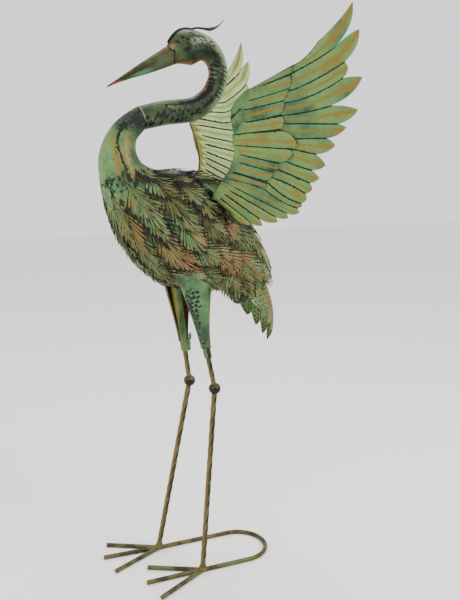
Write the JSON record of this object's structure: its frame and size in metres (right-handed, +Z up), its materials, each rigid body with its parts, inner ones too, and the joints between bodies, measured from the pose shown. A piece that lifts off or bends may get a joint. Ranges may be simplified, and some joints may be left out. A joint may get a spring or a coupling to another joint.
{
  "type": "metal heron garden statue",
  "caption": "Standing heron of patinated sheet metal with raised wings, a layered feather coat and twisted bar legs welded to long rod feet.",
  "frame": {"origin": "on the ground under the middle of the bird's bounding box", "axes": "+Z up; the bird looks along -X; its left side is at -Y"},
  "size_m": [0.4304, 0.4678, 1.1079],
  "materials": {
    "verdigris_sheet": "satin, patinated",
    "feather_coat": "satin, patinated",
    "steel_bar": "satin, patinated",
    "beak_sheet": "satin, patinated",
    "crest_paint": "satin paint"
  },
  "bodies": {
    "root": {"body": "feather_coat", "lower_neck": "verdigris_sheet", "upper_neck": "verdigris_sheet", "beak": "beak_sheet", "crest": "crest_paint", "tail": "verdigris_sheet", "foot_loop": "steel_bar", "wing_left": "verdigris_sheet", "thigh_left": "verdigris_sheet", "leg_tube_left": "verdigris_sheet", "upper_bar_left": "steel_bar", "knee_left": "steel_bar", "shin_left": "steel_bar", "toe_left_inner": "steel_bar", "toe_left_outer": "steel_bar", "wing_right": "verdigris_sheet", "thigh_right": "verdigris_sheet", "leg_tube_right": "verdigris_sheet", "upper_bar_right": "steel_bar", "knee_right": "steel_bar", "shin_right": "steel_bar", "toe_right_inner": "steel_bar", "toe_right_outer": "steel_bar"}
  },
  "joints": []
}
